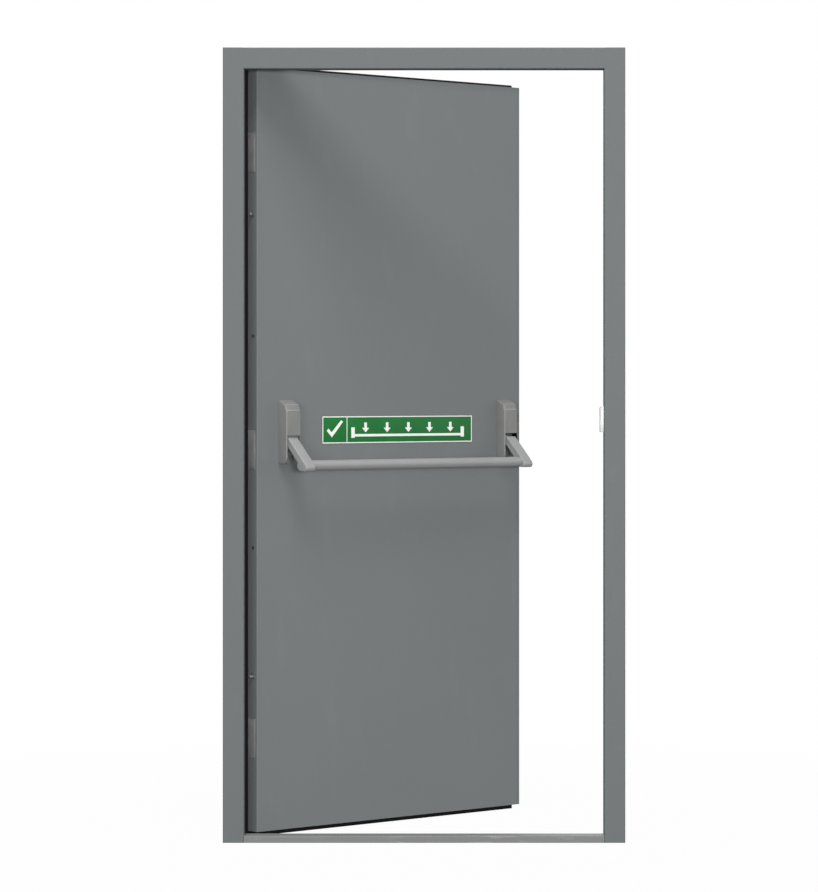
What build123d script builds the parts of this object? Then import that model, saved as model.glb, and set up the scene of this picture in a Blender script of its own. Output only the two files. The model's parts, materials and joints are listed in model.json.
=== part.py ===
from build123d import *
import os
from math import asin, atan2, cos, degrees, hypot, sqrt, tan

# A steel fire exit door in its frame, seen from indoors. Millimetres.
# It is drawn shut, with X along the wall from the hinge side, Y from indoors to outdoors
# and Z up from the floor. The leaf is then turned to the angle at which it stands open,
# and everything is shifted so that the origin lies on the wall side of the hinge jamb.

# Frame
frame_width = 1025.0
frame_height = 2025.0
frame_depth = 105.0
face_width = 54.0          # what shows of the frame from indoors
side_rebate = 11.0         # how far the stop stands into the doorway at the jambs
head_rebate = 21.0         # the same under the head, where the leaf carries a seal
frame_sheet = 1.5
frame_bend = 2.5
lip_width = 20.0           # the returns that lie on the wall

# Threshold
threshold_height = 18.0
threshold_sheet = 2.0
threshold_bend = 3.0

# Rubber on the stop, with a flap on the hinge side that hides the gap at the hinges
stop_seal_width = 6.5
stop_seal_base = 1.2
stop_seal_inset = 2.5
stop_seal_height = 2.5
hinge_seal_flap = 8.0      # how far the hinge side's seal shows past the stop

# Fixings of the frame
fixing_from_ends = 150.0
fixing_count = 4
fixing_hole = 10.0
anchor_length = 60.0
anchor_plate = 3.0
anchor_side_gap = 1.5

# Leaf
leaf_gap = 5.0             # leaf edge to the jamb's rebate
leaf_setback = 8.0         # leaf's indoor face to the back of the frame's stop
leaf_thickness = 45.0
leaf_foot = 18.0           # underside of the leaf above the floor
skin = 1.2
skin_bend = 2.0
lip_lap = 10.0             # the outer skin's return on the indoor face
lap_seam = 0.6
core_gap = 0.3
channel_sheet = 1.5
channel_leg = 22.0
top_seal_height = 6.0
top_seal_width = 12.0
top_seal_base = 2.5
bottom_seal_height = 10.0
bottom_seal_width = 18.0
bottom_seal_base = 4.0
bottom_fin = 3.0
seal_setback = 3.0
seal_short = 26.0          # both seals stop this far from the lock edge
seal_head_gap = 5.0        # the leaf's top seal below the head's rebate

# Hinges
hinge_above_foot = 239.0   # middle of the lower hinge above the leaf's foot
hinge_below_top = 217.0    # middle of the upper hinge below the leaf's top
hinge_height = 100.0
hinge_plate = 2.5
hinge_plate_inset = 8.0    # from the leaf's indoor face to the plate
hinge_proud = 0.5          # of the leaf plate above the leaf's edge
hinge_pocket_gap = 0.3
knuckle_radius = 7.0
knuckle_gap = 0.4
knuckle_clear = 1.0
pin_radius = 4.0
pin_running = 0.05
pin_head_radius = 5.5
pin_head_height = 3.0
pin_beyond_leaf = 10.0     # pin axis outside the leaf's outdoor face
pin_beside_rebate = 1.0    # pin axis inside the rebate's line

# Dog bolts
dog_from_hinge = 159.0     # from the middle of the outer hinges towards the middle one
dog_from_face = 21.0
dog_radius = 6.0
dog_reach = 9.0
dog_taper = 2.0
dog_plate_radius = 10.0
dog_clear = 5.0
dog_fit = 0.1

# Keep on the lock jamb
keep_height = 65.0
keep_above_housing = 34.0  # middle of the keep above the middle of the housings
keep_stand = 9.7
keep_depth = 36.0
keep_inset = 8.0
keep_wall = 2.5
keep_corner = 3.5
keep_mouth_height = 45.0
keep_mouth_depth = 7.0

# Push bar set
housing_bottom = 962.0     # above the floor
housing_height = 165.0
housing_width = 48.0
housing_stand = 33.0
housing_wall = 2.0
hinge_side_offset = 95.5   # middle of one housing from the leaf's hinge edge
lock_side_offset = 62.5    # middle of the other from the leaf's lock edge
upper_crease_drop = 12.5   # from the housing's top
lower_crease_drop = 27.0
upper_crease_stand = 28.5  # from the leaf
top_flat = 5.0
hip = 4.0                  # chamfer along both sides of the sloping top
nose_rise = 22.0
nose_start = 13.0
housing_corner = 2.0
slot_clear = 5.0
chassis_gap = 0.3
chassis_plate = 2.5
chassis_margin = 4.0
cheek_plate = 3.0
cheek_gap = 0.5
cheek_reach = 10.0
cheek_half = 14.0
cheek_corner = 6.0
pivot_stand = 17.0
pivot_rise = 67.0          # above the housing's bottom
pivot_radius = 4.0
pivot_overrun = 1.5
arm_width = 32.0
hub_radius = 9.5
eye_radius = 14.7
toe_radius = 9.0
toe_reach = 14.0           # past the middle of the bar
bar_stand = 79.2
bar_drop = 69.4            # below the pivots
bar_radius = 13.0
bar_wall = 2.0
bar_socket = 20.0
bar_fit = 0.1
arm_edge = 1.2
latch_height = 26.0
latch_depth = 13.0
latch_nose = 15.0
latch_body = 30.0
latch_bevel = 8.0
latch_window_gap = 0.5

# Sign
sign_height = 71.6
sign_from_hinge_side = 99.2    # from the housing on the hinge side
sign_from_lock_side = 92.5     # from the housing on the lock side
sign_above_bar = 53.2
sign_plate = 1.2

# How far the leaf stands open
open_angle = 42.0

# Places that follow from the sizes
leaf_y1 = frame_depth
leaf_y0 = leaf_y1 - leaf_thickness
stop_depth = leaf_y0 - leaf_setback
rebate_x = face_width - side_rebate
lock_rebate_x = frame_width - rebate_x
head_rebate_z = frame_height - face_width + head_rebate
leaf_x0 = rebate_x + leaf_gap
leaf_x1 = lock_rebate_x - leaf_gap
leaf_z0 = leaf_foot
leaf_z1 = head_rebate_z - seal_head_gap - top_seal_height
hinge_x = rebate_x + pin_beside_rebate
hinge_y = leaf_y1 + pin_beyond_leaf
hinge_low = leaf_z0 + hinge_above_foot
hinge_high = leaf_z1 - hinge_below_top
hinge_heights = (hinge_low, (leaf_z0 + leaf_z1) / 2, hinge_high)
dog_y = leaf_y0 + dog_from_face
dog_heights = (hinge_low + dog_from_hinge, hinge_high - dog_from_hinge)
fixing_y = (stop_depth + frame_depth) / 2
fixing_step = (frame_height - 2 * fixing_from_ends) / (fixing_count - 1)
fixing_heights = [fixing_from_ends + fixing_step * number for number in range(fixing_count)]
housing_top = housing_bottom + housing_height
keep_centre = housing_bottom + housing_height / 2 + keep_above_housing
pivot_y = leaf_y0 - pivot_stand
pivot_z = housing_bottom + pivot_rise
bar_y = leaf_y0 - bar_stand
bar_z = pivot_z - bar_drop
arm_half = arm_width / 2

pieces = {}


def block(x0, x1, y0, y1, z0, z1):
    """A block between two corners."""
    middle = Pos((x0 + x1) / 2, (y0 + y1) / 2, (z0 + z1) / 2)
    return middle * Box(x1 - x0, y1 - y0, z1 - z0)


def rod_z(x, y, z0, z1, radius):
    """An upright round bar."""
    return Pos(x, y, (z0 + z1) / 2) * Cylinder(radius, z1 - z0)


def rod_x(x0, x1, y, z, radius):
    """A round bar along the wall."""
    return Pos((x0 + x1) / 2, y, z) * Rot(0, 90, 0) * Cylinder(radius, x1 - x0)


def folded(points, thickness, bend, side, inside_bends=()):
    """The section of a sheet folded along a line of points, with round bends.

    The line is the face that shows. It runs inside the bends whose numbers are given.
    """
    inside = bend - thickness
    radii = [inside if turn in inside_bends else bend for turn in range(1, len(points) - 1)]
    line = FilletPolyline(*points, radius=radii)
    return make_face(offset(line, amount=thickness, side=side, closed=True).edges())


def upright(section, z0, z1):
    """Pulls a plan section up from one height to another."""
    return Pos(0, 0, z0) * extrude(section, amount=z1 - z0, dir=(0, 0, 1))


def along(section, x0, x1):
    """Pulls a section drawn as (Y, Z) along the wall."""
    return Pos(x0, 0, 0) * extrude(Plane.YZ * section, amount=x1 - x0, dir=(1, 0, 0))


def mirrored_to_lock_side(shape):
    """The same piece on the other side of the doorway."""
    return mirror(shape, about=Plane.YZ.offset(frame_width / 2))


def opened(shape):
    """Turns a piece of the leaf about the hinge pins to where the leaf stands."""
    return Pos(hinge_x, hinge_y, 0) * Rot(0, 0, open_angle) * Pos(-hinge_x, -hinge_y, 0) * shape


def frame_section(rebate):
    """Section of the folded frame: first size from the wall side, second from indoors."""
    shoulder = face_width - rebate
    return folded(
        [
            (0, lip_width),
            (0, 0),
            (face_width, 0),
            (face_width, stop_depth),
            (shoulder, stop_depth),
            (shoulder, frame_depth),
            (0, frame_depth),
            (0, frame_depth - lip_width),
        ],
        frame_sheet,
        frame_bend,
        Side.LEFT,
        inside_bends=(4,),
    )


# Jambs: folded sheet open to the wall, with holes for fixings, and for the dog bolts.
# At the top, the fold beside the doorway is cut away for the head.
jamb = upright(frame_section(side_rebate), 0, frame_height)
head_low = frame_height - face_width
flush = face_width - frame_bend
jamb -= block(flush, face_width + 1, -1, stop_depth + 1, head_low, frame_height + 1)
for height in fixing_heights:
    jamb -= rod_x(rebate_x - 2 * frame_sheet, rebate_x + 1, fixing_y, height, fixing_hole / 2)
hinge_jamb = jamb
for height in dog_heights:
    hole = dog_radius + dog_clear
    hinge_jamb -= rod_x(rebate_x - 2 * frame_sheet, rebate_x + 1, dog_y, height, hole)
pieces["hinge_jamb"] = hinge_jamb
pieces["lock_jamb"] = mirrored_to_lock_side(jamb)

# Head: the same section laid over, coped to the jambs, with its face flush against theirs
head = Pos(0, 0, frame_height) * extrude(
    Plane(origin=(0, 0, 0), x_dir=(0, 0, -1), z_dir=(1, 0, 0)) * frame_section(head_rebate),
    amount=lock_rebate_x - rebate_x,
    dir=(1, 0, 0),
)
head = Pos(rebate_x, 0, 0) * head
for x0, x1 in ((0, flush), (frame_width - flush, frame_width)):
    head -= block(x0, x1, -1, stop_depth, 0, frame_height + 1)
pieces["head"] = head - pieces["hinge_jamb"] - pieces["lock_jamb"]

# Threshold: an upstand between the jambs and a low plate that runs out under the leaf
sill = along(
    folded(
        [
            (0, 0),
            (0, threshold_height),
            (stop_depth, threshold_height),
            (stop_depth, threshold_sheet),
            (frame_depth, threshold_sheet),
        ],
        threshold_sheet,
        threshold_bend,
        Side.RIGHT,
        inside_bends=(3,),
    ),
    rebate_x,
    lock_rebate_x,
)
for x0, x1 in ((0, face_width), (frame_width - face_width, frame_width)):
    sill -= block(x0, x1, -1, stop_depth, -1, threshold_height + 1)
pieces["threshold"] = sill - pieces["hinge_jamb"] - pieces["lock_jamb"]

# Wall anchors: plates behind the lips that the fixings pull against
anchors = Part()
for height in fixing_heights:
    anchors += block(
        frame_sheet,
        frame_sheet + anchor_plate,
        frame_sheet + anchor_side_gap,
        frame_depth - frame_sheet - anchor_side_gap,
        height - anchor_length / 2,
        height + anchor_length / 2,
    ) - rod_x(0, frame_sheet + 2 * anchor_plate, fixing_y, height, fixing_hole / 2)
pieces["hinge_jamb_anchors"] = anchors
pieces["lock_jamb_anchors"] = mirrored_to_lock_side(anchors)


def stop_seal_section():
    """A flat foot with a round bead, drawn as distance along the stop and out of it."""
    half = stop_seal_width / 2
    rise = stop_seal_height - stop_seal_base
    outline = Polyline((-half, stop_seal_base), (-half, 0), (half, 0), (half, stop_seal_base))
    bead = ThreePointArc((half, stop_seal_base), (0, stop_seal_base + rise), (-half, stop_seal_base))
    return make_face(outline.edges() + bead.edges())


seal_middle = face_width - stop_seal_inset - stop_seal_width / 2
head_seal_low = head_low + stop_seal_inset
seal_section = Pos(seal_middle, stop_depth) * stop_seal_section()
jamb_seal = upright(seal_section, threshold_sheet + threshold_bend, head_seal_low)
flap = block(
    seal_middle,
    face_width + hinge_seal_flap,
    stop_depth,
    stop_depth + stop_seal_base,
    threshold_sheet + threshold_bend,
    head_seal_low,
)
pieces["hinge_jamb_seal"] = jamb_seal + flap
pieces["lock_jamb_seal"] = mirrored_to_lock_side(jamb_seal)
head_seal_place = Pos(stop_depth, head_seal_low + stop_seal_width / 2) * Rot(0, 0, -90)
head_seal_section = head_seal_place * stop_seal_section()
seal_start = face_width - stop_seal_inset - stop_seal_width
pieces["head_seal"] = along(head_seal_section, seal_start, frame_width - seal_start)

# Leaf skins: the inner wraps the hinge edge, the outer wraps the lock edge and laps indoors
inner_section = folded(
    [
        (leaf_x1 - lip_lap - lap_seam, leaf_y0),
        (leaf_x0, leaf_y0),
        (leaf_x0, leaf_y1 - skin),
    ],
    skin,
    skin_bend,
    Side.RIGHT,
)
outer_section = folded(
    [
        (leaf_x0, leaf_y1),
        (leaf_x1, leaf_y1),
        (leaf_x1, leaf_y0),
        (leaf_x1 - lip_lap, leaf_y0),
    ],
    skin,
    skin_bend,
    Side.RIGHT,
)
inner_skin = upright(inner_section, leaf_z0, leaf_z1)
outer_skin = upright(outer_section, leaf_z0, leaf_z1)
core = block(
    leaf_x0 + skin + core_gap,
    leaf_x1 - skin - core_gap,
    leaf_y0 + skin + core_gap,
    leaf_y1 - skin - core_gap,
    leaf_z0 + channel_sheet + core_gap,
    leaf_z1 - channel_sheet - core_gap,
)

# Channels that close the top and bottom of the leaf between the skins
channel_y0 = leaf_y0 + skin + core_gap
channel_y1 = leaf_y1 - skin - core_gap


def end_channel(edge, inward):
    """A channel with its web at the leaf's end and its legs pointing into the leaf."""
    leg_end = edge + inward * channel_leg
    section = folded(
        [(channel_y0, leg_end), (channel_y0, edge), (channel_y1, edge), (channel_y1, leg_end)],
        channel_sheet,
        frame_bend,
        Side.LEFT if inward > 0 else Side.RIGHT,
    )
    return along(section, leaf_x0 + skin + core_gap, leaf_x1 - skin - core_gap)


pieces["leaf_top_channel"] = end_channel(leaf_z1, -1)
pieces["leaf_bottom_channel"] = end_channel(leaf_z0, 1)
leg_room = channel_sheet + core_gap
for z0, z1 in (
    (leaf_z0, leaf_z0 + channel_leg + core_gap),
    (leaf_z1 - channel_leg - core_gap, leaf_z1),
):
    core -= block(leaf_x0, leaf_x1, leaf_y0, channel_y0 + leg_room, z0, z1)
    core -= block(leaf_x0, leaf_x1, channel_y1 - leg_room, leaf_y1, z0, z1)

# Seals on the leaf's top and bottom edges
seal_y0 = leaf_y0 + seal_setback
top_face = leaf_z1 + top_seal_base
top_seal_section = make_face(
    Polyline(
        (seal_y0, top_face),
        (seal_y0, leaf_z1),
        (seal_y0 + top_seal_width, leaf_z1),
        (seal_y0 + top_seal_width, top_face),
    ).edges()
    + ThreePointArc(
        (seal_y0 + top_seal_width, top_face),
        (seal_y0 + top_seal_width / 2, leaf_z1 + top_seal_height),
        (seal_y0, top_face),
    ).edges()
)
bottom_face = leaf_z0 - bottom_seal_base
fin_foot = leaf_z0 - bottom_seal_height
bottom_seal_section = make_face(
    Polyline(
        (seal_y0, leaf_z0),
        (seal_y0, fin_foot),
        (seal_y0 + bottom_fin, fin_foot),
        (seal_y0 + bottom_fin, bottom_face),
        (seal_y0 + bottom_seal_width - bottom_fin, bottom_face),
        (seal_y0 + bottom_seal_width - bottom_fin, fin_foot),
        (seal_y0 + bottom_seal_width, fin_foot),
        (seal_y0 + bottom_seal_width, leaf_z0),
        close=True,
    ).edges()
)
pieces["leaf_top_seal"] = along(top_seal_section, leaf_x0, leaf_x1 - seal_short)
pieces["leaf_bottom_seal"] = along(bottom_seal_section, leaf_x0, leaf_x1 - seal_short)

# Hinges: three knuckles each, the outer two on the frame, with the fixed pin, and the middle one on the leaf
third = hinge_height / 3
plate_y0 = leaf_y0 + hinge_plate_inset
plate_notch = hinge_y - knuckle_radius - knuckle_clear
leaf_plate_x0 = leaf_x0 - hinge_proud
leaf_plate_x1 = leaf_plate_x0 + hinge_plate
for name, height in zip(("lower", "middle", "upper"), hinge_heights):
    z0 = height - hinge_height / 2
    z1 = height + hinge_height / 2
    low = z0 + third
    high = z1 - third

    frame_leaf = block(rebate_x, rebate_x + hinge_plate, plate_y0, plate_notch, z0, z1)
    for k0, k1 in ((z0, low - knuckle_gap / 2), (high + knuckle_gap / 2, z1)):
        frame_leaf += block(rebate_x, rebate_x + hinge_plate, plate_notch, hinge_y, k0, k1)
        frame_leaf += rod_z(hinge_x, hinge_y, k0, k1, knuckle_radius)
    frame_leaf += rod_z(hinge_x, hinge_y, z0, z1, pin_radius)
    for h0, h1 in ((z0 - pin_head_height, z0), (z1, z1 + pin_head_height)):
        frame_leaf += rod_z(hinge_x, hinge_y, h0, h1, pin_head_radius)
    pieces["frame_hinge_" + name] = frame_leaf

    k0 = low + knuckle_gap / 2
    k1 = high - knuckle_gap / 2
    leaf_leaf = block(leaf_plate_x0, leaf_plate_x1, plate_y0, plate_notch, z0, z1)
    leaf_leaf += block(leaf_plate_x0, leaf_plate_x1, plate_notch, hinge_y, k0, k1)
    leaf_leaf += rod_z(hinge_x, hinge_y, k0, k1, knuckle_radius)
    leaf_leaf -= rod_z(hinge_x, hinge_y, z0, z1, pin_radius + pin_running)
    pieces["leaf_hinge_" + name] = opened(leaf_leaf)

    pocket = block(
        leaf_x0 - 1,
        leaf_plate_x1 + hinge_pocket_gap,
        plate_y0 - hinge_pocket_gap,
        leaf_y1 + 1,
        z0 - hinge_pocket_gap,
        z1 + hinge_pocket_gap,
    )
    inner_skin -= pocket
    outer_skin -= pocket
    core -= pocket

# Dog bolts: tapered pegs on round plates, let into the hinge edge, that enter the jamb as the leaf shuts
for name, height in zip(("lower", "upper"), dog_heights):
    tip = leaf_x0 - dog_reach
    outline = make_face(
        Polyline(
            (tip, 0),
            (tip, dog_radius - dog_taper),
            (tip + dog_taper, dog_radius),
            (leaf_x0, dog_radius),
            (leaf_x0, dog_plate_radius),
            (leaf_x0 + skin, dog_plate_radius),
            (leaf_x0 + skin, 0),
            close=True,
        ).edges()
    )
    dog_bolt = Pos(0, dog_y, height) * revolve(outline, Axis.X, 360)
    seat_radius = dog_plate_radius + dog_fit
    inner_skin -= rod_x(leaf_x0 - 1, leaf_x0 + 2 * skin, dog_y, height, seat_radius)
    pieces["dog_bolt_" + name] = opened(dog_bolt)

pieces["inner_skin"] = opened(inner_skin)
pieces["outer_skin"] = opened(outer_skin)
pieces["leaf_core"] = opened(core)
for name in ("leaf_top_channel", "leaf_bottom_channel", "leaf_top_seal", "leaf_bottom_seal"):
    pieces[name] = opened(pieces[name])

# Keep: a box on the lock jamb's reveal with a mouth for the latch
reveal_x = frame_width - face_width
keep_z0 = keep_centre - keep_height / 2
keep_z1 = keep_centre + keep_height / 2
keep = block(reveal_x - keep_stand, reveal_x, keep_inset, keep_inset + keep_depth, keep_z0, keep_z1)
corner = keep.edges().filter_by(Axis.Y).sort_by(Axis.Z)[-2:].sort_by(Axis.X)[0]
keep = chamfer(corner, keep_corner)
keep -= block(
    reveal_x - keep_stand - 1,
    reveal_x - keep_stand + keep_mouth_depth,
    keep_inset + keep_wall,
    keep_inset + keep_depth - keep_wall,
    keep_centre - keep_mouth_height / 2,
    keep_centre + keep_mouth_height / 2,
)
pieces["keep"] = keep

# Sign: a thin plate stuck on the indoor face
sign_z = bar_z + sign_above_bar
pieces["sign_plate"] = opened(
    block(
        leaf_x0 + hinge_side_offset + housing_width / 2 + sign_from_hinge_side,
        leaf_x1 - lock_side_offset - housing_width / 2 - sign_from_lock_side,
        leaf_y0 - sign_plate,
        leaf_y0,
        sign_z,
        sign_z + sign_height,
    )
)


# Push bar housings. Their sections are drawn as (Y, Z), where indoors is towards lower Y.
def housing_section():
    """Side view of a housing: two sloping facets on top and a rounded nose below."""
    front = leaf_y0 - housing_stand
    behind = leaf_y0 + housing_stand
    nose_z = housing_bottom + nose_rise
    nose_y = leaf_y0 - nose_start
    lines = Polyline(
        (front, nose_z),
        (front, housing_top - lower_crease_drop),
        (leaf_y0 - upper_crease_stand, housing_top - upper_crease_drop),
        (leaf_y0 - top_flat, housing_top),
        (behind, housing_top),
        (behind, housing_bottom),
        (nose_y, housing_bottom),
    )
    nose = TangentArc((nose_y, housing_bottom), (front, nose_z), tangent=(-1, 0))
    return make_face(lines.edges() + nose.edges())


def housing_form(x0, x1, inset):
    """The housing's outer shape, drawn in by an inset, with both sides of its top chamfered."""
    section = housing_section()
    if inset:
        section = offset(section, amount=-inset, kind=Kind.INTERSECTION)
    form = along(section, x0 + inset, x1 - inset)
    crease = housing_top - lower_crease_drop
    sides = [
        edge
        for edge in form.edges()
        if abs(edge.tangent_at(0.5).X) < 0.5
        and edge.center().Z > crease - inset
        and edge.center().Y < leaf_y0 + housing_stand - inset - 1
    ]
    return chamfer(sides, hip - inset * (2 - sqrt(2)))


# The slope of the arm's upper edge and the height at which it leaves the housing
run = hypot(bar_y - pivot_y, bar_z - pivot_z)
lean = asin((eye_radius - hub_radius) / run)
slope = atan2(pivot_z - bar_z, pivot_y - bar_y) - lean
exit_run = housing_stand - housing_wall - pivot_stand
slot_z = pivot_z - exit_run * tan(slope) + (hub_radius + slot_clear) / cos(slope)


def arm_form(middle):
    """A link from the pivot to an eye round the bar's end, with a toe past the eye."""
    hub = Circle(hub_radius)
    shoulder = Pos(run, (hub_radius - eye_radius) * cos(lean)) * Circle(hub_radius)
    eye = Pos(run, 0) * Circle(eye_radius)
    toe = Pos(run + toe_reach, toe_radius - eye_radius) * Circle(toe_radius)
    outline = make_hull([*hub.edges(), *shoulder.edges()]) + make_hull([*eye.edges(), *toe.edges()])
    turn = degrees(atan2(bar_z - pivot_z, bar_y - pivot_y))
    arm = along(Pos(pivot_y, pivot_z) * Rot(0, 0, turn) * outline, middle - arm_half, middle + arm_half)
    return chamfer(arm.edges().filter_by(lambda e: abs(e.tangent_at(0.5).X) < 0.5), arm_edge)


bar_ends = []
housings = (
    ("hinge_side", leaf_x0 + hinge_side_offset, 1),
    ("lock_side", leaf_x1 - lock_side_offset, -1),
)
for name, middle, inward in housings:
    x0 = middle - housing_width / 2
    x1 = middle + housing_width / 2

    # Cover: a shell, open at its back and where the arm comes out
    cover = housing_form(x0, x1, 0)
    front_edges = cover.edges().filter_by(Axis.Z).group_by(Axis.Y)[0]
    cover = chamfer(front_edges, housing_corner)
    cover -= housing_form(x0, x1, housing_wall)
    cover -= block(x0 - 1, x1 + 1, leaf_y0, leaf_y0 + 2 * housing_stand, 0, frame_height)
    slot_half = arm_half + slot_clear
    cover -= block(
        middle - slot_half,
        middle + slot_half,
        leaf_y0 - 2 * housing_stand,
        leaf_y0 - nose_start + housing_wall,
        housing_bottom - 1,
        slot_z,
    )

    # Chassis: a plate on the leaf with two cheeks, and the pivot pin riveted across them
    half_plate = housing_width / 2 - housing_wall - chassis_gap
    chassis = block(
        middle - half_plate,
        middle + half_plate,
        leaf_y0 - chassis_plate,
        leaf_y0,
        housing_bottom + housing_wall + chassis_gap,
        housing_top - housing_wall - chassis_margin - hip,
    )
    for way in (-1, 1):
        near = middle + way * (arm_half + cheek_gap)
        far = near + way * cheek_plate
        cheek = block(
            min(near, far),
            max(near, far),
            pivot_y - cheek_reach,
            leaf_y0,
            pivot_z - cheek_half,
            pivot_z + cheek_half,
        )
        nose_edges = cheek.edges().filter_by(Axis.X).group_by(Axis.Y)[0]
        chassis += chamfer(nose_edges, cheek_corner)
    pin_reach = arm_half + cheek_gap + cheek_plate + pivot_overrun
    chassis += rod_x(middle - pin_reach, middle + pin_reach, pivot_y, pivot_z, pivot_radius)

    # Arm, with a socket in its eye for the bar
    mouth = middle + inward * arm_half
    depth = mouth - inward * bar_socket
    arm = arm_form(middle)
    arm -= rod_x(x0, x1, pivot_y, pivot_z, pivot_radius + pin_running)
    arm -= rod_x(min(mouth, depth), max(mouth, depth), bar_y, bar_z, bar_radius + bar_fit)
    bar_ends.append(depth + inward * bar_fit)
    pieces[name + "_arm"] = opened(arm)

    # Latch: a bevelled nose that stands out of the lock side housing towards the keep
    if name == "lock_side":
        latch_y0 = pivot_y - latch_depth / 2
        latch_y1 = latch_y0 + latch_depth
        latch_z0 = keep_centre - latch_height / 2
        latch_z1 = keep_centre + latch_height / 2
        latch = block(x1 - latch_body, x1 + latch_nose, latch_y0, latch_y1, latch_z0, latch_z1)
        tip = latch.edges().filter_by(Axis.Z).group_by(Axis.X)[-1].sort_by(Axis.Y)[-1]
        latch = chamfer(tip, latch_bevel)
        latch += block(
            x1 - latch_body,
            x1 - housing_wall - chassis_gap,
            latch_y0,
            leaf_y0 - chassis_plate,
            latch_z0 - housing_wall,
            latch_z1 + housing_wall,
        )
        cover -= block(
            x1 - 2 * housing_wall,
            x1 + 1,
            latch_y0 - latch_window_gap,
            latch_y1 + latch_window_gap,
            latch_z0 - latch_window_gap,
            latch_z1 + latch_window_gap,
        )
        pieces["latch"] = opened(latch)

    pieces[name + "_housing"] = opened(cover)
    pieces[name + "_chassis"] = opened(chassis)

# Push bar: a round tube between the two eyes
bar = rod_x(bar_ends[0], bar_ends[1], bar_y, bar_z, bar_radius)
bar -= rod_x(bar_ends[0] - 1, bar_ends[1] + 1, bar_y, bar_z, bar_radius - bar_wall)
pieces["push_bar"] = opened(bar)

# The origin lies on the hinge jamb's indoor lip, half way up
origin = (0, lip_width / 2, frame_height / 2)
os.makedirs("parts", exist_ok=True)
for name, shape in pieces.items():
    export_step(Pos(-origin[0], -origin[1], -origin[2]) * shape, "parts/" + name + ".step")
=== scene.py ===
import json
from math import pi, radians

import bpy
from mathutils import Matrix, Vector


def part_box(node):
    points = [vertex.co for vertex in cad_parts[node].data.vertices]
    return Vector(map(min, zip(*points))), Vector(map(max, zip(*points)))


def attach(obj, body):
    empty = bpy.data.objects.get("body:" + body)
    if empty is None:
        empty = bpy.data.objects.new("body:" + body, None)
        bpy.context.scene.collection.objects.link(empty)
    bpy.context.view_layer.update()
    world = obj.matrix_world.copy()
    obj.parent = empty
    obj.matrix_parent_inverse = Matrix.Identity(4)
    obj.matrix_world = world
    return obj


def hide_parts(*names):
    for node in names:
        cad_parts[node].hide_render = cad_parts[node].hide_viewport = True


# The door set as it was made: a folded steel frame, a steel leaf that stands open on
# three hinges, and a push bar across the leaf's indoor face.
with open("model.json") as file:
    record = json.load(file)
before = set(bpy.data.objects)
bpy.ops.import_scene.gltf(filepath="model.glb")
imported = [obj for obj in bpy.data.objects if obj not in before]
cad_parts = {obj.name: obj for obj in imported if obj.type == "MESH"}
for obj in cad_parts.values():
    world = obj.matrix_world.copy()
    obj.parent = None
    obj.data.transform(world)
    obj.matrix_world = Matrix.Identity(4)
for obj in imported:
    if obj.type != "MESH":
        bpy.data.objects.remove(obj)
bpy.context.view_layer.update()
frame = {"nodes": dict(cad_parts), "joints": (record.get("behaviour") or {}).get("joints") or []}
nodes = frame["nodes"]
frame_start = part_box("hinge_jamb")[0]
frame_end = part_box("lock_jamb")[1]
floor_height = frame_start.z
middle = (frame_start.x + frame_end.x) / 2

# The camera stands square to the frame, about nine metres in front of it and a little
# above the push bar. It looks level, so that upright lines stay upright.
image_height = 892
focal_pixels = 3563
view_shift = (-0.01687, -0.0628)
camera_back = 9.08
camera_height = 1.153

camera_data = bpy.data.cameras.new("camera")
camera_data.sensor_width = 36
camera_data.lens = focal_pixels / image_height * camera_data.sensor_width
camera_data.shift_x, camera_data.shift_y = view_shift
camera = bpy.data.objects.new("camera", camera_data)
camera.location = (middle, -camera_back, floor_height + camera_height)
camera.rotation_euler = (pi / 2, 0, 0)
bpy.context.scene.collection.objects.link(camera)
bpy.context.scene.camera = camera
bpy.context.scene.view_settings.view_transform = "Standard"


# The studio: a white room that lights from all round, and a pale floor that throws light
# up at the door. The camera sees the floor white, with a trace of shadow near the door.
class Wire:
    """An output of a shader node. Python's operators on it add Math nodes."""

    def __init__(self, tree, output=None):
        self.tree = tree
        self.output = output

    def node(self, kind, settings=None, values=None, output=0):
        """Adds a node: first its settings, then the values or wires of its inputs."""
        made = self.tree.nodes.new(kind)
        for name, value in (settings or {}).items():
            setattr(made, name, value)
        for name, value in (values or {}).items():
            if isinstance(value, Wire):
                self.tree.links.new(value.output, made.inputs[name])
            else:
                made.inputs[name].default_value = value
        return Wire(self.tree, made.outputs[output])

    def math(self, operation, first, second):
        """Adds a Math node."""
        return self.node("ShaderNodeMath", {"operation": operation}, {0: first, 1: second})

    def __add__(self, other):
        return self.math("ADD", self, other)

    def __sub__(self, other):
        return self.math("SUBTRACT", self, other)

    def __rsub__(self, other):
        return self.math("SUBTRACT", other, self)

    def __mul__(self, other):
        return self.math("MULTIPLY", self, other)

    __radd__ = __add__
    __rmul__ = __mul__

    def between(self, start, end):
        """0 at the start and 1 at the end, with a soft rise from one to the other."""
        settings = {"interpolation_type": "SMOOTHSTEP"}
        values = {"Value": self, "From Min": start, "From Max": end}
        return self.node("ShaderNodeMapRange", settings, values)

    def mix(self, first, second):
        """A colour between two others, by this share of the second."""
        ends = [part if isinstance(part, Wire) else (*part, 1) for part in (first, second)]
        values = {0: self, 6: ends[0], 7: ends[1]}
        return self.node("ShaderNodeMix", {"data_type": "RGBA"}, values, 2)


def looked_at(tree, *rays):
    """1 for the kinds of rays that are named, and 0 for the light that falls on pieces."""
    path = tree.nodes.new("ShaderNodeLightPath")
    share = Wire(tree, path.outputs[rays[0]])
    for name in rays[1:]:
        share = share.math("MAXIMUM", share, Wire(tree, path.outputs[name]))
    return share


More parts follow.
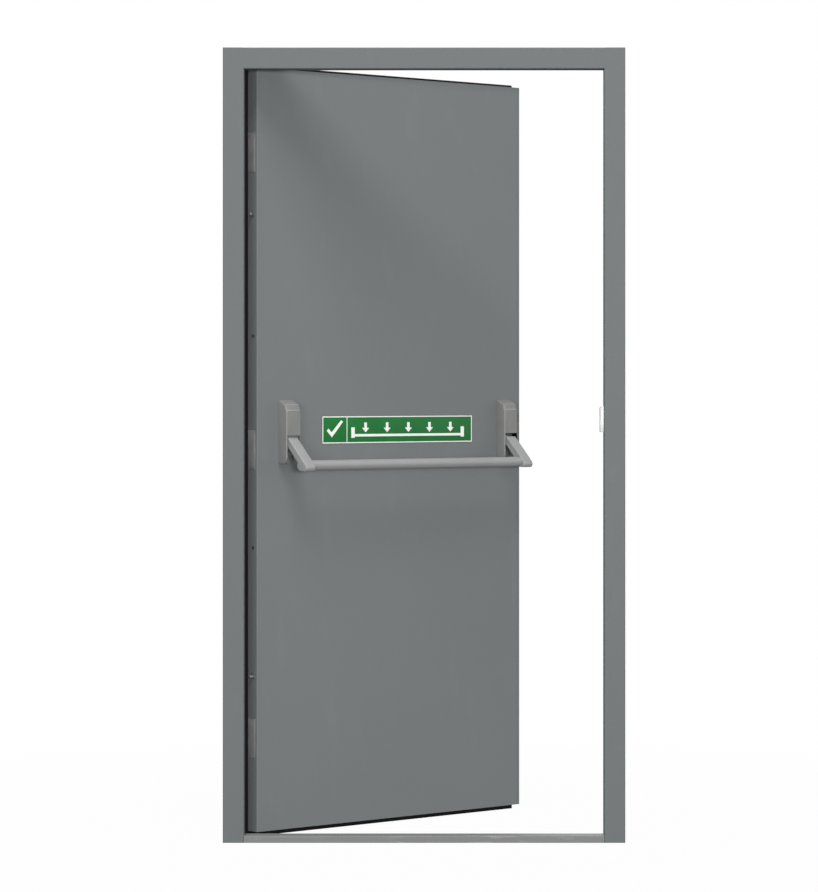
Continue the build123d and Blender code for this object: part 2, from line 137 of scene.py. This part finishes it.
white = (1, 1, 1, 1)
room_light = 0.30
room = bpy.data.worlds.new("white_room")
room.use_nodes = True
bpy.context.scene.world = room
background = room.node_tree.nodes["Background"]
background.inputs["Color"].default_value = white
seen_room = looked_at(room.node_tree, "Is Camera Ray", "Is Glossy Ray")
strength = seen_room * (1 - room_light) + room_light
room.node_tree.links.new(strength.output, background.inputs["Strength"])

floor_reach = 60
floor_tone = 0.28
shadow_middle = (middle, 0.3, floor_height)
shadow_start = 0.9
shadow_end = 3.0
shadow_share = 0.02

bpy.ops.object.select_all(action="DESELECT")
bpy.ops.mesh.primitive_grid_add(x_subdivisions=4, y_subdivisions=4, size=2 * floor_reach)
floor = bpy.context.object
floor.name = "floor"
floor.data.transform(Matrix.Translation((middle, 0, floor_height)))
floor_finish = bpy.data.materials.new("pale_floor")
floor_finish.use_nodes = True
tree = floor_finish.node_tree
tree.nodes.remove(tree.nodes["Principled BSDF"])
spot = Wire(tree)
distance = spot.node(
    "ShaderNodeVectorMath",
    {"operation": "DISTANCE"},
    {0: spot.node("ShaderNodeTexCoord", output="Object"), 1: shadow_middle},
    "Value",
)
shadow = shadow_share * (1 - distance.between(shadow_start, shadow_end))
white_share = looked_at(tree, "Is Camera Ray") * (1 - shadow)
matt = spot.node("ShaderNodeBsdfDiffuse", values={"Color": (floor_tone, floor_tone, floor_tone, 1)})
glow = spot.node("ShaderNodeEmission", values={"Color": white, "Strength": 1.0})
shown = spot.node("ShaderNodeMixShader", values={0: white_share, 1: matt, 2: glow})
tree.links.new(shown.output, tree.nodes["Material Output"].inputs["Surface"])
floor.data.materials.append(floor_finish)


# Lamps: a wide one above, a key lamp in front on the right and a fill lamp on the left,
# both low so that the bar hides its own shadow, and weak ones for the edges and the back.
def soft_box(name, place, target, width, height, power):
    """A flat lamp that faces a point and isn't seen itself. Its power is in watts."""
    light = bpy.data.lights.new(name, "AREA")
    light.shape = "RECTANGLE"
    light.size = width
    light.size_y = height
    light.energy = power
    box = bpy.data.objects.new(name, light)
    box.location = place
    box.rotation_euler = (Vector(target) - Vector(place)).to_track_quat("-Z", "Y").to_euler()
    box.visible_camera = False
    bpy.context.scene.collection.objects.link(box)


soft_box("top_lamp", (0.2, -5.0, 9.5), (0.5, 0.1, 0.2), width=4.5, height=4.5, power=780)
soft_box("key_lamp", (3.0, -12.0, 0.5), (0.5, 0.2, 0.1), width=3.2, height=1.4, power=840)
soft_box("fill_lamp", (-3.4, -13.5, 0.5), (0.4, 0.2, 0.1), width=4.5, height=1.4, power=520)
soft_box("side_lamp", (8.0, 1.0, 0.4), (0.5, 0.3, 0.0), width=3.0, height=1.4, power=40)
soft_box("back_lamp", (0.2, 5.0, 3.6), (0.5, 0.2, 0.0), width=2.4, height=2.4, power=110)


# Jambs and head: 1.5 mm steel sheet, folded on a press, welded and dressed flush at the
# corners, then powder coated grey as one frame.
class Finish(Wire):
    """The material of one finish, whose shader is wired by its methods."""

    def __init__(self, name, metallic=0.0, shine=0.5):
        self.material = bpy.data.materials.new(name)
        self.material.use_nodes = True
        super().__init__(self.material.node_tree)
        self.shader = self.tree.nodes["Principled BSDF"]
        self.shader.inputs["Metallic"].default_value = metallic
        self.shader.inputs["Specular IOR Level"].default_value = shine
        self.place = self.node("ShaderNodeTexCoord", output="Object")

    def feed(self, name, wire):
        """Wires a pattern to one of the shader's sockets."""
        self.tree.links.new(wire.output, self.shader.inputs[name])

    def stretched(self, scale, turn=(0, 0, 0)):
        """The place on the piece, turned and then scaled along each axis."""
        turned = self.node("ShaderNodeMapping", values={"Vector": self.place, "Rotation": turn})
        return self.node("ShaderNodeMapping", values={"Vector": turned, "Scale": scale})

    def clouds(self, size, detail=2.0, place=None):
        """Soft noise from 0 to 1, with patches about that many metres across."""
        values = {"Vector": place or self.place, "Scale": 1 / size, "Detail": detail}
        return self.node("ShaderNodeTexNoise", values=values)

    def bumps(self, height, depth):
        """Tilts the surface by a height map whose full depth is in metres."""
        values = {"Height": height, "Distance": depth, "Strength": 1.0}
        self.feed("Normal", self.node("ShaderNodeBump", values=values, output="Normal"))

    def coat(self, *pieces):
        """Puts the finish on pieces."""
        for piece in pieces:
            if not piece.material_slots:
                piece.data.materials.append(self.material)
            for slot in piece.material_slots:
                slot.material = self.material


def tint(colour, share):
    """A colour made darker or paler by a factor."""
    return tuple(share * part for part in colour)


def powder_coat(name, colour, scuffs):
    """Satin powder coat: fine orange peel, a cloudy tone and faint rubbed places."""
    paint = Finish(name, shine=0.25)
    drift = paint.clouds(0.45, 3.0)
    peel = paint.clouds(0.0022, 3.0)
    grain = paint.clouds(0.0007, 1.0)
    tone = 0.25 * drift + 0.35 * peel + 0.40 * grain
    clean = tone.between(0.2, 0.8).mix(tint(colour, 0.93), tint(colour, 1.07))
    rub = paint.clouds(0.05, 6.0, paint.stretched((1.0, 1.0, 0.35)))
    rubbed = scuffs * rub.between(0.56, 0.74)
    paint.feed("Base Color", rubbed.mix(clean, tint(colour, 1.22)))
    paint.feed("Roughness", 0.52 + 0.05 * drift + 0.05 * peel + 0.06 * rubbed)
    paint.bumps(peel + 0.3 * grain, 0.00006)
    return paint


frame_coat = powder_coat("grey_frame_coat", colour=(0.111, 0.121, 0.122), scuffs=0.25)
frame_coat.coat(nodes["hinge_jamb"], nodes["lock_jamb"], nodes["head"])


# Caps over the frame's fixings: round, domed plastic caps with a short stem, pushed into
# the screw holes of the jambs' rebates once the frame is fixed to the wall.
def turned(name, rings, sides=32):
    """A turned shape, drawn as rings of (radius, height), in edit mode to finish."""
    bpy.ops.object.select_all(action="DESELECT")
    radius, height = rings[0]
    bpy.ops.mesh.primitive_circle_add(
        vertices=sides, radius=radius, fill_type="NGON", location=(0, 0, height)
    )
    piece = bpy.context.object
    piece.name = name
    bpy.ops.object.mode_set(mode="EDIT")
    bpy.ops.mesh.select_all(action="SELECT")
    for next_radius, next_height in rings[1:]:
        step = {"value": (0, 0, next_height - height)}
        bpy.ops.mesh.extrude_region_move(TRANSFORM_OT_translate=step)
        share = next_radius / radius
        bpy.ops.transform.resize(value=(share, share, 1))
        radius, height = next_radius, next_height
    return piece


def finished(piece, smooth=30):
    """Closes edit mode with the faces outwards and the place in the mesh."""
    bpy.ops.mesh.select_all(action="SELECT")
    bpy.ops.mesh.normals_make_consistent(inside=False)
    bpy.ops.object.mode_set(mode="OBJECT")
    bpy.ops.object.transform_apply(location=True, rotation=True, scale=True)
    bpy.ops.object.shade_smooth_by_angle(angle=radians(smooth))
    return piece


def copied(piece, name, matrix):
    """A copy with its own mesh, put in place."""
    twin = piece.copy()
    twin.data = piece.data.copy()
    twin.name = name
    twin.data.transform(matrix)
    if matrix.determinant() < 0:
        twin.data.flip_normals()
    bpy.context.scene.collection.objects.link(twin)
    return twin


cap_radius = 0.0078
cap_rise = 0.0017
stem_radius = 0.0047
cap_count = 4
cap_spacing = 0.575
cap_depth = 0.0685
hinge_rebate, lock_rebate = (corner.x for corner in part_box("threshold"))

cap_rings = [
    (stem_radius * 0.8, -0.009),
    (stem_radius, -0.008),
    (stem_radius, 0.0),
    (cap_radius, 0.0),
    (cap_radius, 0.0005),
    (cap_radius * 0.96, 0.0009),
    (cap_radius * 0.8, 0.00135),
    (cap_radius * 0.5, 0.00162),
    (cap_radius * 0.1, cap_rise),
]
cap = finished(turned("fixing_cap", cap_rings), smooth=50)
cap_dark = (0.105, 0.115, 0.115)
cap_pale = (0.14, 0.15, 0.15)
cap_plastic = Finish("grey_cap_plastic")
cap_mottle = cap_plastic.clouds(0.004, 4.0)
cap_plastic.feed("Base Color", cap_mottle.mix(cap_dark, cap_pale))
cap_plastic.feed("Roughness", 0.42 + 0.18 * cap_mottle)
cap_plastic.bumps(cap_plastic.clouds(0.0006), 0.00003)
cap_plastic.coat(cap)
for side, rebate, turn in (("hinge", hinge_rebate, pi / 2), ("lock", lock_rebate, -pi / 2)):
    for number in range(cap_count):
        height = (number - (cap_count - 1) / 2) * cap_spacing
        place = Matrix.Translation((rebate, cap_depth, height)) @ Matrix.Rotation(turn, 4, "Y")
        twin = copied(cap, f"{side}_jamb_cap_{number + 1}", place)
        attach(twin, "frame")
bpy.data.objects.remove(cap)

# Wall anchors: zinc plated plates behind the jambs' lips that the fixings pull against.
# Hot dipped, so the zinc has frozen in pale and dark flakes.
flakes_per_metre = 130.0
zinc_dark = (0.30, 0.31, 0.32)
zinc_pale = (0.52, 0.53, 0.54)
zinc = Finish("dipped_zinc", metallic=0.85)
flakes = zinc.node(
    "ShaderNodeTexVoronoi",
    values={"Vector": zinc.place, "Scale": flakes_per_metre},
    output="Color",
)
flake = zinc.node("ShaderNodeSeparateColor", values={0: flakes})
zinc_tone = 0.6 * flake + 0.4 * zinc.clouds(0.02, 4.0)
zinc.feed("Base Color", zinc_tone.mix(zinc_dark, zinc_pale))
zinc.feed("Roughness", 0.34 + 0.26 * zinc_tone)
zinc.bumps(flake + zinc.clouds(0.002), 0.00003)
zinc.coat(nodes["hinge_jamb_anchors"], nodes["lock_jamb_anchors"])

# Threshold: a folded sheet with an upstand, powder coated grey. Feet have left fine
# scratches in the coat. The upstand's flat top is painted paler: painted light that lifts
# the shade the top gets from the lamps.
painted_light_start = floor_height + 0.0172
painted_light_full = floor_height + 0.0179
sill_dark = (0.129, 0.131, 0.132)
sill_pale = (0.146, 0.148, 0.149)
painted_top_light = (0.205, 0.205, 0.203)
scratched = (0.30, 0.30, 0.29)
sill_coat = Finish("threshold_coat")
sill_drift = sill_coat.clouds(0.3, 4.0)
sill_peel = sill_coat.clouds(0.0022, 3.0)
scratches = sill_coat.clouds(0.03, 5.0, sill_coat.stretched((0.12, 3.0, 3.0), (0, 0, 0.15)))
wear = scratches.between(0.52, 0.72) * sill_drift.between(0.35, 0.65)
sill_height = sill_coat.node("ShaderNodeSeparateXYZ", values={0: sill_coat.place}, output="Z")
sill_clean = (0.5 * sill_drift + 0.5 * sill_peel).mix(sill_dark, sill_pale)
# Painted light: the upstand's top is painted paler than its front, so that it shows as bright.
sill_with_painted_top_light = sill_height.between(painted_light_start, painted_light_full).mix(sill_clean, painted_top_light)
sill_coat.feed("Base Color", (0.7 * wear).mix(sill_with_painted_top_light, scratched))
sill_coat.feed("Roughness", 0.52 + 0.08 * sill_drift + 0.08 * wear)
sill_coat.bumps(sill_peel - 0.4 * wear, 0.00006)
sill_coat.coat(nodes["threshold"])

# Rubber: extruded black seals are pressed along the stops of both jambs and the head, and
# two more are stuck to the leaf's top and bottom edges. The die left faint lines on them.
rubber_black = (0.003, 0.003, 0.0035)
rubber_dusty = (0.011, 0.011, 0.011)
rubber = Finish("black_rubber", shine=0.08)
lines = rubber.clouds(0.0012, place=rubber.stretched((1.0, 1.0, 0.02)))
dusty = rubber.clouds(0.03, 5.0).between(0.5, 0.8)
rubber.feed("Base Color", (0.6 * dusty + 0.2 * lines).mix(rubber_black, rubber_dusty))
rubber.feed("Roughness", 0.62 + 0.22 * dusty)
rubber.bumps(lines, 0.00005)
for name in ("hinge_jamb", "lock_jamb", "head", "leaf_top", "leaf_bottom"):
    rubber.coat(nodes[name + "_seal"])


# Hinges: steel butt hinges, three knuckles each, welded into the jamb and into pockets in
# the leaf's edge. The plates are brushed along their length and left satin.
def softened(name, node, body, width):
    """A copy of a CAD piece whose sharp edges are rounded, shown in its place."""
    source = nodes[node]
    piece = source.copy()
    piece.data = source.data.copy()
    piece.name = name
    bpy.context.scene.collection.objects.link(piece)
    bpy.ops.object.select_all(action="DESELECT")
    bpy.context.view_layer.objects.active = piece
    piece.select_set(True)
    bpy.ops.mesh.customdata_custom_splitnormals_clear()
    bpy.ops.object.mode_set(mode="EDIT")
    bpy.ops.mesh.select_all(action="SELECT")
    bpy.ops.mesh.remove_doubles(threshold=0.00002)
    bpy.ops.mesh.dissolve_limited(angle_limit=radians(1))
    bpy.ops.object.mode_set(mode="OBJECT")
    rounding = piece.modifiers.new("rounding", "BEVEL")
    rounding.width = width
    rounding.segments = 3
    rounding.angle_limit = radians(25)
    bpy.ops.object.modifier_apply(modifier=rounding.name)
    bpy.ops.object.shade_smooth_by_angle(angle=radians(35))
    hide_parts(node)
    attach(piece, body)
    return piece


flap_rounding = 0.0004
hinge_dark = (0.28, 0.28, 0.285)
hinge_pale = (0.48, 0.48, 0.485)
hinge_steel = Finish("satin_hinge_steel", metallic=0.6)
brush = hinge_steel.clouds(0.0009, 3.0, hinge_steel.stretched((1.0, 1.0, 0.02)))
steel_tone = 0.6 * brush + 0.4 * hinge_steel.clouds(0.03, 5.0)
hinge_steel.feed("Base Color", steel_tone.between(0.2, 0.8).mix(hinge_dark, hinge_pale))
hinge_steel.feed("Roughness", 0.36 + 0.2 * steel_tone)
hinge_steel.bumps(brush, 0.00003)
for level in ("lower", "middle", "upper"):
    for side, body in (("jamb", "frame"), ("leaf", "leaf")):
        name = f"{side}_flap_{level}"
        flap = softened(name, f"{body}_hinge_{level}", body, flap_rounding)
        hinge_steel.coat(flap)

# Leaf: two folded steel skins, closed by a channel at the top and the bottom. It was
# pressed together and then powder coated the frame's grey. Its coat here is painted paler
# than the frame's as painted light, since the open leaf, turned away, catches less lamp light.
# The leaf's colour is painted paler than the frame's: painted light for the lamp light it misses.
paler_painted_leaf_coat = powder_coat("grey_leaf_coat_painted_paler", colour=(0.153, 0.165, 0.167), scuffs=0.2)
for name in ("inner_skin", "outer_skin", "leaf_top_channel", "leaf_bottom_channel"):
    paler_painted_leaf_coat.coat(nodes[name])

# Core: a board of brown paper cells, glued between the two skins. The skins and the
# channels hide it all round.
cells_per_metre = 60.0
cell_walls = (0.55, 0.44, 0.30)
cell_insides = (0.30, 0.22, 0.14)
core_board = Finish("core_board")
from_wall = core_board.node(
    "ShaderNodeTexVoronoi",
    {"feature": "DISTANCE_TO_EDGE"},
    {"Vector": core_board.place, "Scale": cells_per_metre},
    "Distance",
)
inside = from_wall.between(0.03, 0.09)
fibres = core_board.clouds(0.0015, 4.0, core_board.stretched((1.0, 1.0, 0.15)))
core_board.feed("Base Color", (0.7 * inside + 0.3 * fibres).mix(cell_walls, cell_insides))
core_board.feed("Roughness", 0.8 + 0.15 * fibres)
core_board.bumps(0.8 * inside + 0.2 * fibres, 0.0006)
core_board.coat(nodes["leaf_core"])

# Dog bolts: two tapered steel pegs on round plates, fixed in the hinge edge. They enter
# holes in the jamb as the leaf shuts, which has left them bright between spots of grime.
bolt_dark = (0.14, 0.14, 0.145)
bolt_pale = (0.36, 0.36, 0.365)
bolt_steel = Finish("dog_bolt_steel", metallic=0.8)
tool_marks = bolt_steel.clouds(0.0008, 3.0)
grime = bolt_steel.clouds(0.008, 4.0)
bolt_tone = (0.5 * tool_marks + 0.5 * grime).between(0.3, 0.7)
bolt_steel.feed("Base Color", bolt_tone.mix(bolt_dark, bolt_pale))
bolt_steel.feed("Roughness", 0.34 + 0.2 * grime)
bolt_steel.bumps(tool_marks, 0.00003)
bolt_steel.coat(nodes["dog_bolt_lower"], nodes["dog_bolt_upper"])

# Plugs in the hinge edge: two small black plastic plugs close the holes through which
# the leaf hung on its hooks while it was coated. Pieces added to the leaf are drawn with
# it shut, and to_open turns them with it about the hinge pins.
leaf_joint = next(joint for joint in frame["joints"] if joint["name"] == "leaf_swing")
pin = Vector(leaf_joint["pos_m"])
open_angle = radians(-leaf_joint["range_deg"][0])
to_open = Matrix.Translation(pin) @ Matrix.Rotation(open_angle, 4, "Z") @ Matrix.Translation(-pin)

hinge_edge = 0.048
plug_depth = 0.066
plug_heights = {"upper": 0.2795, "lower": -0.2645}
plug_radius = 0.0045

plug_rings = [
    (plug_radius * 0.9, -0.0008),
    (plug_radius, 0.0),
    (plug_radius, 0.0004),
    (plug_radius * 0.85, 0.0009),
    (plug_radius * 0.45, 0.0012),
    (plug_radius * 0.4, 0.0008),
    (plug_radius * 0.1, 0.0007),
]
plug = finished(turned("edge_plug", plug_rings, sides=24), smooth=50)
plug_dark = (0.015, 0.015, 0.016)
plug_pale = (0.035, 0.035, 0.035)
plug_plastic = Finish("black_plug_plastic")
speckle = plug_plastic.clouds(0.001, 3.0)
plug_plastic.feed("Base Color", speckle.mix(plug_dark, plug_pale))
plug_plastic.feed("Roughness", 0.4 + 0.25 * speckle)
plug_plastic.bumps(speckle, 0.00003)
plug_plastic.coat(plug)
for level, height in plug_heights.items():
    place = Matrix.Translation((hinge_edge, plug_depth, height)) @ Matrix.Rotation(-pi / 2, 4, "Y")
    twin = copied(plug, "edge_plug_" + level, to_open @ place)
    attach(twin, "leaf")
bpy.data.objects.remove(plug)

# Corner pad: the leaf's bottom seal is narrower than the leaf, so a small rubber block
# closes the rest of the gap under the hinge corner. It is glued to the bottom channel.
pad_low = Vector((0.0490, 0.0715, -1.0040))
pad_high = Vector((0.0780, 0.0940, -0.9945))
pad_rounding = 0.001

bpy.ops.object.select_all(action="DESELECT")
bpy.ops.mesh.primitive_cube_add(size=1, location=(pad_low + pad_high) / 2)
pad = bpy.context.object
pad.name = "corner_pad"
pad.scale = pad_high - pad_low
bpy.ops.object.mode_set(mode="EDIT")
finished(pad)
rounding = pad.modifiers.new("rounding", "BEVEL")
rounding.width = pad_rounding
rounding.segments = 2
bpy.ops.object.modifier_apply(modifier=rounding.name)
pad.data.transform(to_open)
rubber.coat(pad)
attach(pad, "leaf")


# Keep: a die-cast box on the lock jamb with a mouth for the latch, silver painted, held
# by two countersunk screws above and below the mouth.
def silver_paint(name, colour, metal, roughness):
    """Silver paint: aluminium flakes in a clear binder, slightly cloudy where it pooled."""
    paint = Finish(name)
    flake = paint.clouds(0.0006, 1.0)
    pool = paint.clouds(0.05, 4.0)
    peel = paint.clouds(0.0018)
    tone = 0.35 * flake + 0.3 * peel + 0.35 * pool
    paint.feed("Base Color", tone.between(0.25, 0.75).mix(tint(colour, 0.90), tint(colour, 1.10)))
    paint.feed("Roughness", roughness + 0.14 * pool + 0.06 * flake)
    paint.feed("Metallic", metal * (0.5 + flake))
    paint.bumps(peel + 0.3 * flake, 0.00005)
    return paint


keep_rounding = 0.0008
keep_silver = silver_paint("keep_silver_paint", (0.50, 0.50, 0.50), metal=0.2, roughness=0.36)
keep = softened("keep_box", "keep", "frame", keep_rounding)
keep_silver.coat(keep)

screw_rings = [
    (0.0012, -0.0060),
    (0.0019, -0.0045),
    (0.0019, -0.0022),
    (0.0040, -0.0002),
    (0.0040, 0.0002),
    (0.0037, 0.0004),
    (0.0016, 0.00045),
    (0.0013, -0.0012),
]
screw = finished(turned("keep_screw", screw_rings, sides=24), smooth=40)
screw_dark = (0.36, 0.36, 0.37)
screw_pale = (0.62, 0.62, 0.62)
screw_zinc = Finish("plated_screw", metallic=0.9)
screw_grain = screw_zinc.clouds(0.0008, 3.0)
screw_zinc.feed("Base Color", screw_grain.mix(screw_dark, screw_pale))
screw_zinc.feed("Roughness", 0.25 + 0.2 * screw_grain)
screw_zinc.coat(screw)

keep_low, keep_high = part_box("keep")
screw_inset = 0.0055
screw_depth = (keep_low.y + keep_high.y) / 2
screw_heights = {"lower": keep_low.z + screw_inset, "upper": keep_high.z - screw_inset}
for level, height in screw_heights.items():
    place = Matrix.Translation((keep_low.x, screw_depth, height))
    twin = copied(screw, "keep_screw_" + level, place @ Matrix.Rotation(-pi / 2, 4, "Y"))
    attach(twin, "frame")
bpy.data.objects.remove(screw)

# Chassis and latch: the pressed plates that carry the pivots behind the housings are zinc
# plated. The latch nose of the lock side is cast, and browned where the keep rubs it.
latch_dark = (0.075, 0.075, 0.077)
latch_brown = (0.13, 0.128, 0.122)
zinc.coat(nodes["hinge_side_chassis"], nodes["lock_side_chassis"])
latch_steel = Finish("latch_steel", metallic=0.4)
latch_rub = latch_steel.clouds(0.01, 4.0)
latch_steel.feed("Base Color", latch_rub.mix(latch_dark, latch_brown))
latch_steel.feed("Roughness", 0.38 + 0.2 * latch_rub)
latch_steel.bumps(latch_steel.clouds(0.001, 3.0), 0.00004)
latch_steel.coat(nodes["latch"])

# Push bar set: two cast housings with sloping tops, a tapered arm in each, and a round
# tube between the arms. The housings are painted grey, and what moves is painted silver.
cast_rounding = 0.0006
housing_grey = silver_paint(
    "housing_grey_paint", (0.187, 0.187, 0.184), metal=0.05, roughness=0.50
)
bar_silver = silver_paint(
    "push_bar_silver_paint", (0.28, 0.282, 0.284), metal=0.05, roughness=0.36
)
for side in ("hinge_side", "lock_side"):
    cover = softened(side + "_cover", side + "_housing", "leaf", cast_rounding)
    housing_grey.coat(cover)
    lever = softened(side + "_lever", side + "_arm", "bar", cast_rounding)
    bar_silver.coat(lever)
bar_silver.coat(nodes["push_bar"])

# Ribs: a flat rib lies along both creases of each housing's sloping top, painted paler
# than the housing as a painted highlight on each crease. They are placed with the leaf shut.
housing_starts = {"hinge_side": 0.1195, "lock_side": 0.8905}
housing_width = 0.048
rib_half = 0.0019
rib_tip = 0.6 * rib_half
rib_tip_length = 0.0008
rib_flatness = 0.32
rib_lines = (
    {"level": "lower", "depth": 0.0172, "height": 0.0875, "tilt": 8.6, "margin": 0.0030},
    {"level": "upper", "depth": 0.0217, "height": 0.1020, "tilt": 39.6, "margin": 0.0042},
)

# The ribs' pale paint is a painted highlight along the housings' creases.
rib_highlight_paint = silver_paint("rib_painted_highlight_paint", (0.26, 0.26, 0.257), metal=0.05, roughness=0.45)
laid_flat = Matrix.Diagonal((1, rib_flatness, 1, 1)) @ Matrix.Rotation(pi / 2, 4, "Y")
for line in rib_lines:
    length = housing_width - 2 * line["margin"]
    rib_rings = [
        (rib_tip, 0.0),
        (rib_half, rib_tip_length),
        (rib_half, length - rib_tip_length),
        (rib_tip, length),
    ]
    rib = finished(turned("rib", rib_rings, sides=16), smooth=50)
    rib_highlight_paint.coat(rib)
    tilted = Matrix.Rotation(radians(-line["tilt"]), 4, "X")
    for side, start in housing_starts.items():
        place = Matrix.Translation((start + line["margin"], line["depth"], line["height"]))
        name = f"{side}_rib_{line['level']}"
        twin = copied(rib, name, to_open @ place @ tilted @ laid_flat)
        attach(twin, "leaf")
    bpy.data.objects.remove(rib)

# Sign: a green plastic plate with a satin face and rounded edges, stuck on the leaf above
# the bar.
board_rounding = 0.0004
green_dark = (0.0145, 0.136, 0.031)
green_pale = (0.0165, 0.154, 0.037)
sign_green = Finish("sign_green", shine=0.12)
mottle = sign_green.clouds(0.06, 3.0)
fine = sign_green.clouds(0.0009)
sign_tone = (0.7 * mottle + 0.3 * fine).between(0.3, 0.7)
sign_green.feed("Base Color", sign_tone.mix(green_dark, green_pale))
sign_green.feed("Roughness", 0.38 + 0.12 * mottle)
sign_green.bumps(fine, 0.00002)
sign_board = softened("sign_board", "sign_plate", "leaf", board_rounding)
sign_green.coat(sign_board)

# The sign's print: a white film that stands a little proud of the plate: a border, a
# divider, a tick, and arrows that press on a bar. Its points are measured from the
# plate's lower left corner.
sign_left = 0.2667
sign_right = 0.798
sign_face = 0.0488
sign_foot, sign_top = (corner.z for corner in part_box("sign_plate"))
film = 0.00015


def printed(outline):
    """A thin printed shape from (along, up) points in metres, in edit mode to finish."""
    bpy.ops.object.select_all(action="DESELECT")
    bpy.ops.mesh.primitive_circle_add(vertices=len(outline), fill_type="NGON")
    piece = bpy.context.object
    for vertex, (along, up) in zip(piece.data.vertices, outline):
        vertex.co = (sign_left + along, sign_face, sign_foot + up)
    bpy.ops.object.mode_set(mode="EDIT")
    bpy.ops.mesh.select_all(action="SELECT")
    bpy.ops.mesh.extrude_region_move(TRANSFORM_OT_translate={"value": (0, -film, 0)})
    return piece


def stroke(first, second, width):
    """The outline of a straight printed line."""
    first, second = Vector(first), Vector(second)
    along = second - first
    aside = Vector((-along.y, along.x)).normalized() * width / 2
    return [first - aside, second - aside, second + aside, first + aside]


border_inset = 0.0005
border_width = 0.0026
border_low = border_inset + border_width / 2
border_high = sign_top - sign_foot - border_low
border_end = sign_right - sign_left - border_low
level_end = border_end + border_width / 2
upright_foot = border_low + border_width / 2
upright_top = border_high - border_width / 2
divider = 0.085
divider_width = 0.0022
uprights = ((border_low, border_width), (border_end, border_width), (divider, divider_width))
outlines = []
for height in (border_low, border_high):
    outlines.append(stroke((border_inset, height), (level_end, height), border_width))
for along, width in uprights:
    outlines.append(stroke((along, upright_foot), (along, upright_top), width))

tick = [
    (0.0155, 0.0335),
    (0.0215, 0.0395),
    (0.0320, 0.0295),
    (0.0650, 0.0615),
    (0.0710, 0.0565),
    (0.0330, 0.0165),
]
outlines.append(tick)

bar_left = 0.112
bar_right = 0.490
bar_height = 0.021
bar_thickness = 0.0065
bar_end_width = 0.0120
bar_end_foot = 0.0145
bar_end_top = 0.0420
outlines.append(stroke((bar_left, bar_height), (bar_right, bar_height), bar_thickness))
for along in (bar_left - bar_end_width / 2, bar_right + bar_end_width / 2):
    outlines.append(stroke((along, bar_end_foot), (along, bar_end_top), bar_end_width))

arrow_count = 5
arrow_tip = 0.0285
arrow_barb = 0.0405
arrow_top = 0.0545
arrow_half = 0.0125
shaft_half = 0.0045
for number in range(arrow_count):
    centre = bar_left + (bar_right - bar_left) * (number + 0.5) / arrow_count
    outlines.append(
        [
            (centre, arrow_tip),
            (centre + arrow_half, arrow_barb),
            (centre + shaft_half, arrow_barb),
            (centre + shaft_half, arrow_top),
            (centre - shaft_half, arrow_top),
            (centre - shaft_half, arrow_barb),
            (centre - arrow_half, arrow_barb),
        ]
    )

shapes = [finished(printed(outline)) for outline in outlines]
for shape in shapes:
    shape.select_set(True)
bpy.ops.object.join()
sign_print = bpy.context.object
sign_print.name = "sign_print"
sign_print.data.transform(to_open)
print_yellowed = (0.74, 0.78, 0.73)
print_white = (0.84, 0.86, 0.83)
white_film = Finish("white_print")
yellowing = white_film.clouds(0.03, 3.0)
white_film.feed("Base Color", yellowing.mix(print_yellowed, print_white))
white_film.feed("Roughness", 0.34 + 0.14 * yellowing)
white_film.coat(sign_print)
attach(sign_print, "leaf")
